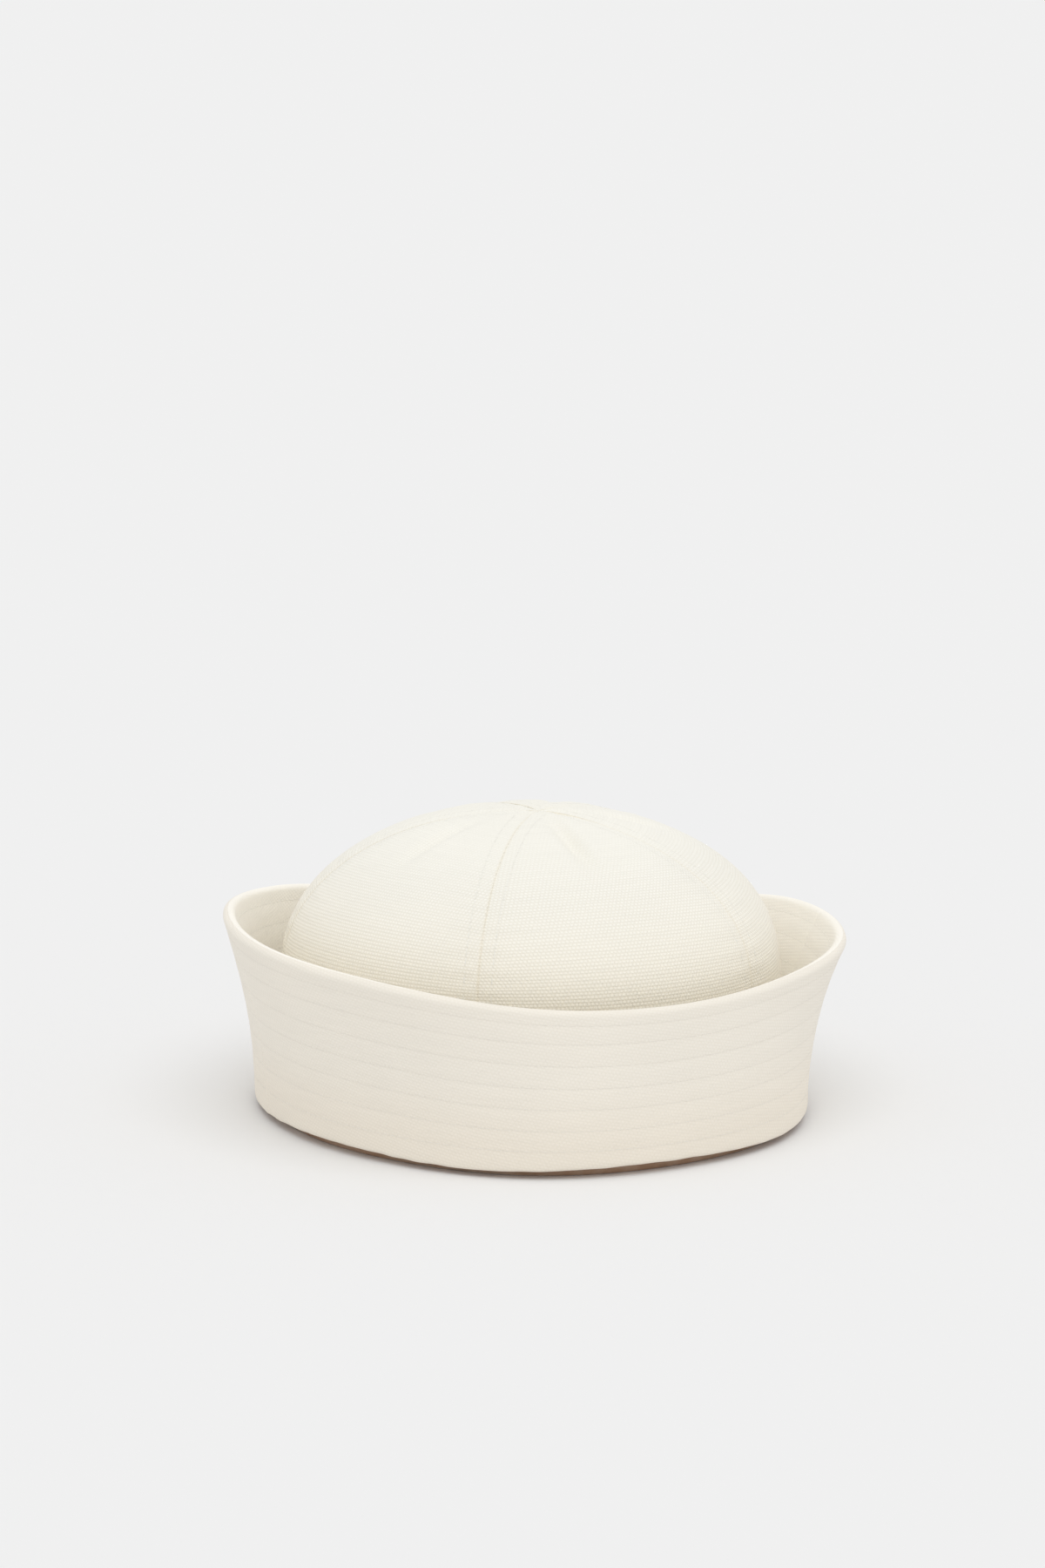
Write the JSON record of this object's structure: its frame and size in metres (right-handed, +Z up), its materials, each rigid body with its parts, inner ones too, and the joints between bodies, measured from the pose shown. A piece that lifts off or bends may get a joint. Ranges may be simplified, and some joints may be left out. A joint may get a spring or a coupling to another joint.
{
  "type": "sailor cap",
  "caption": "Canvas sailor cap: a gored round crown inside a deep stitched two-ply brim turned up all round, open underneath for the head.",
  "frame": {"origin": "on the table under the middle of the cap's outline", "axes": "+Z up through the crown, -Y towards the front of the brim, +X to the right as the cap is seen from its front"},
  "size_m": [0.2056, 0.1994, 0.0992],
  "materials": {
    "crown_canvas": "undyed cotton canvas, plain weave, matt",
    "brim_canvas": "undyed cotton canvas with parallel rows of topstitching, matt",
    "brim_lining_side": "undyed cotton canvas, the brim's inner face, matt"
  },
  "bodies": {
    "root": {"crown_panel_1": "crown_canvas", "crown_panel_2": "crown_canvas", "crown_panel_3": "crown_canvas", "crown_panel_4": "crown_canvas", "crown_panel_5": "crown_canvas", "brim_outer_front": "brim_canvas", "brim_outer_back": "brim_canvas", "brim_inner_front": "brim_lining_side", "brim_inner_back": "brim_lining_side"}
  },
  "joints": []
}
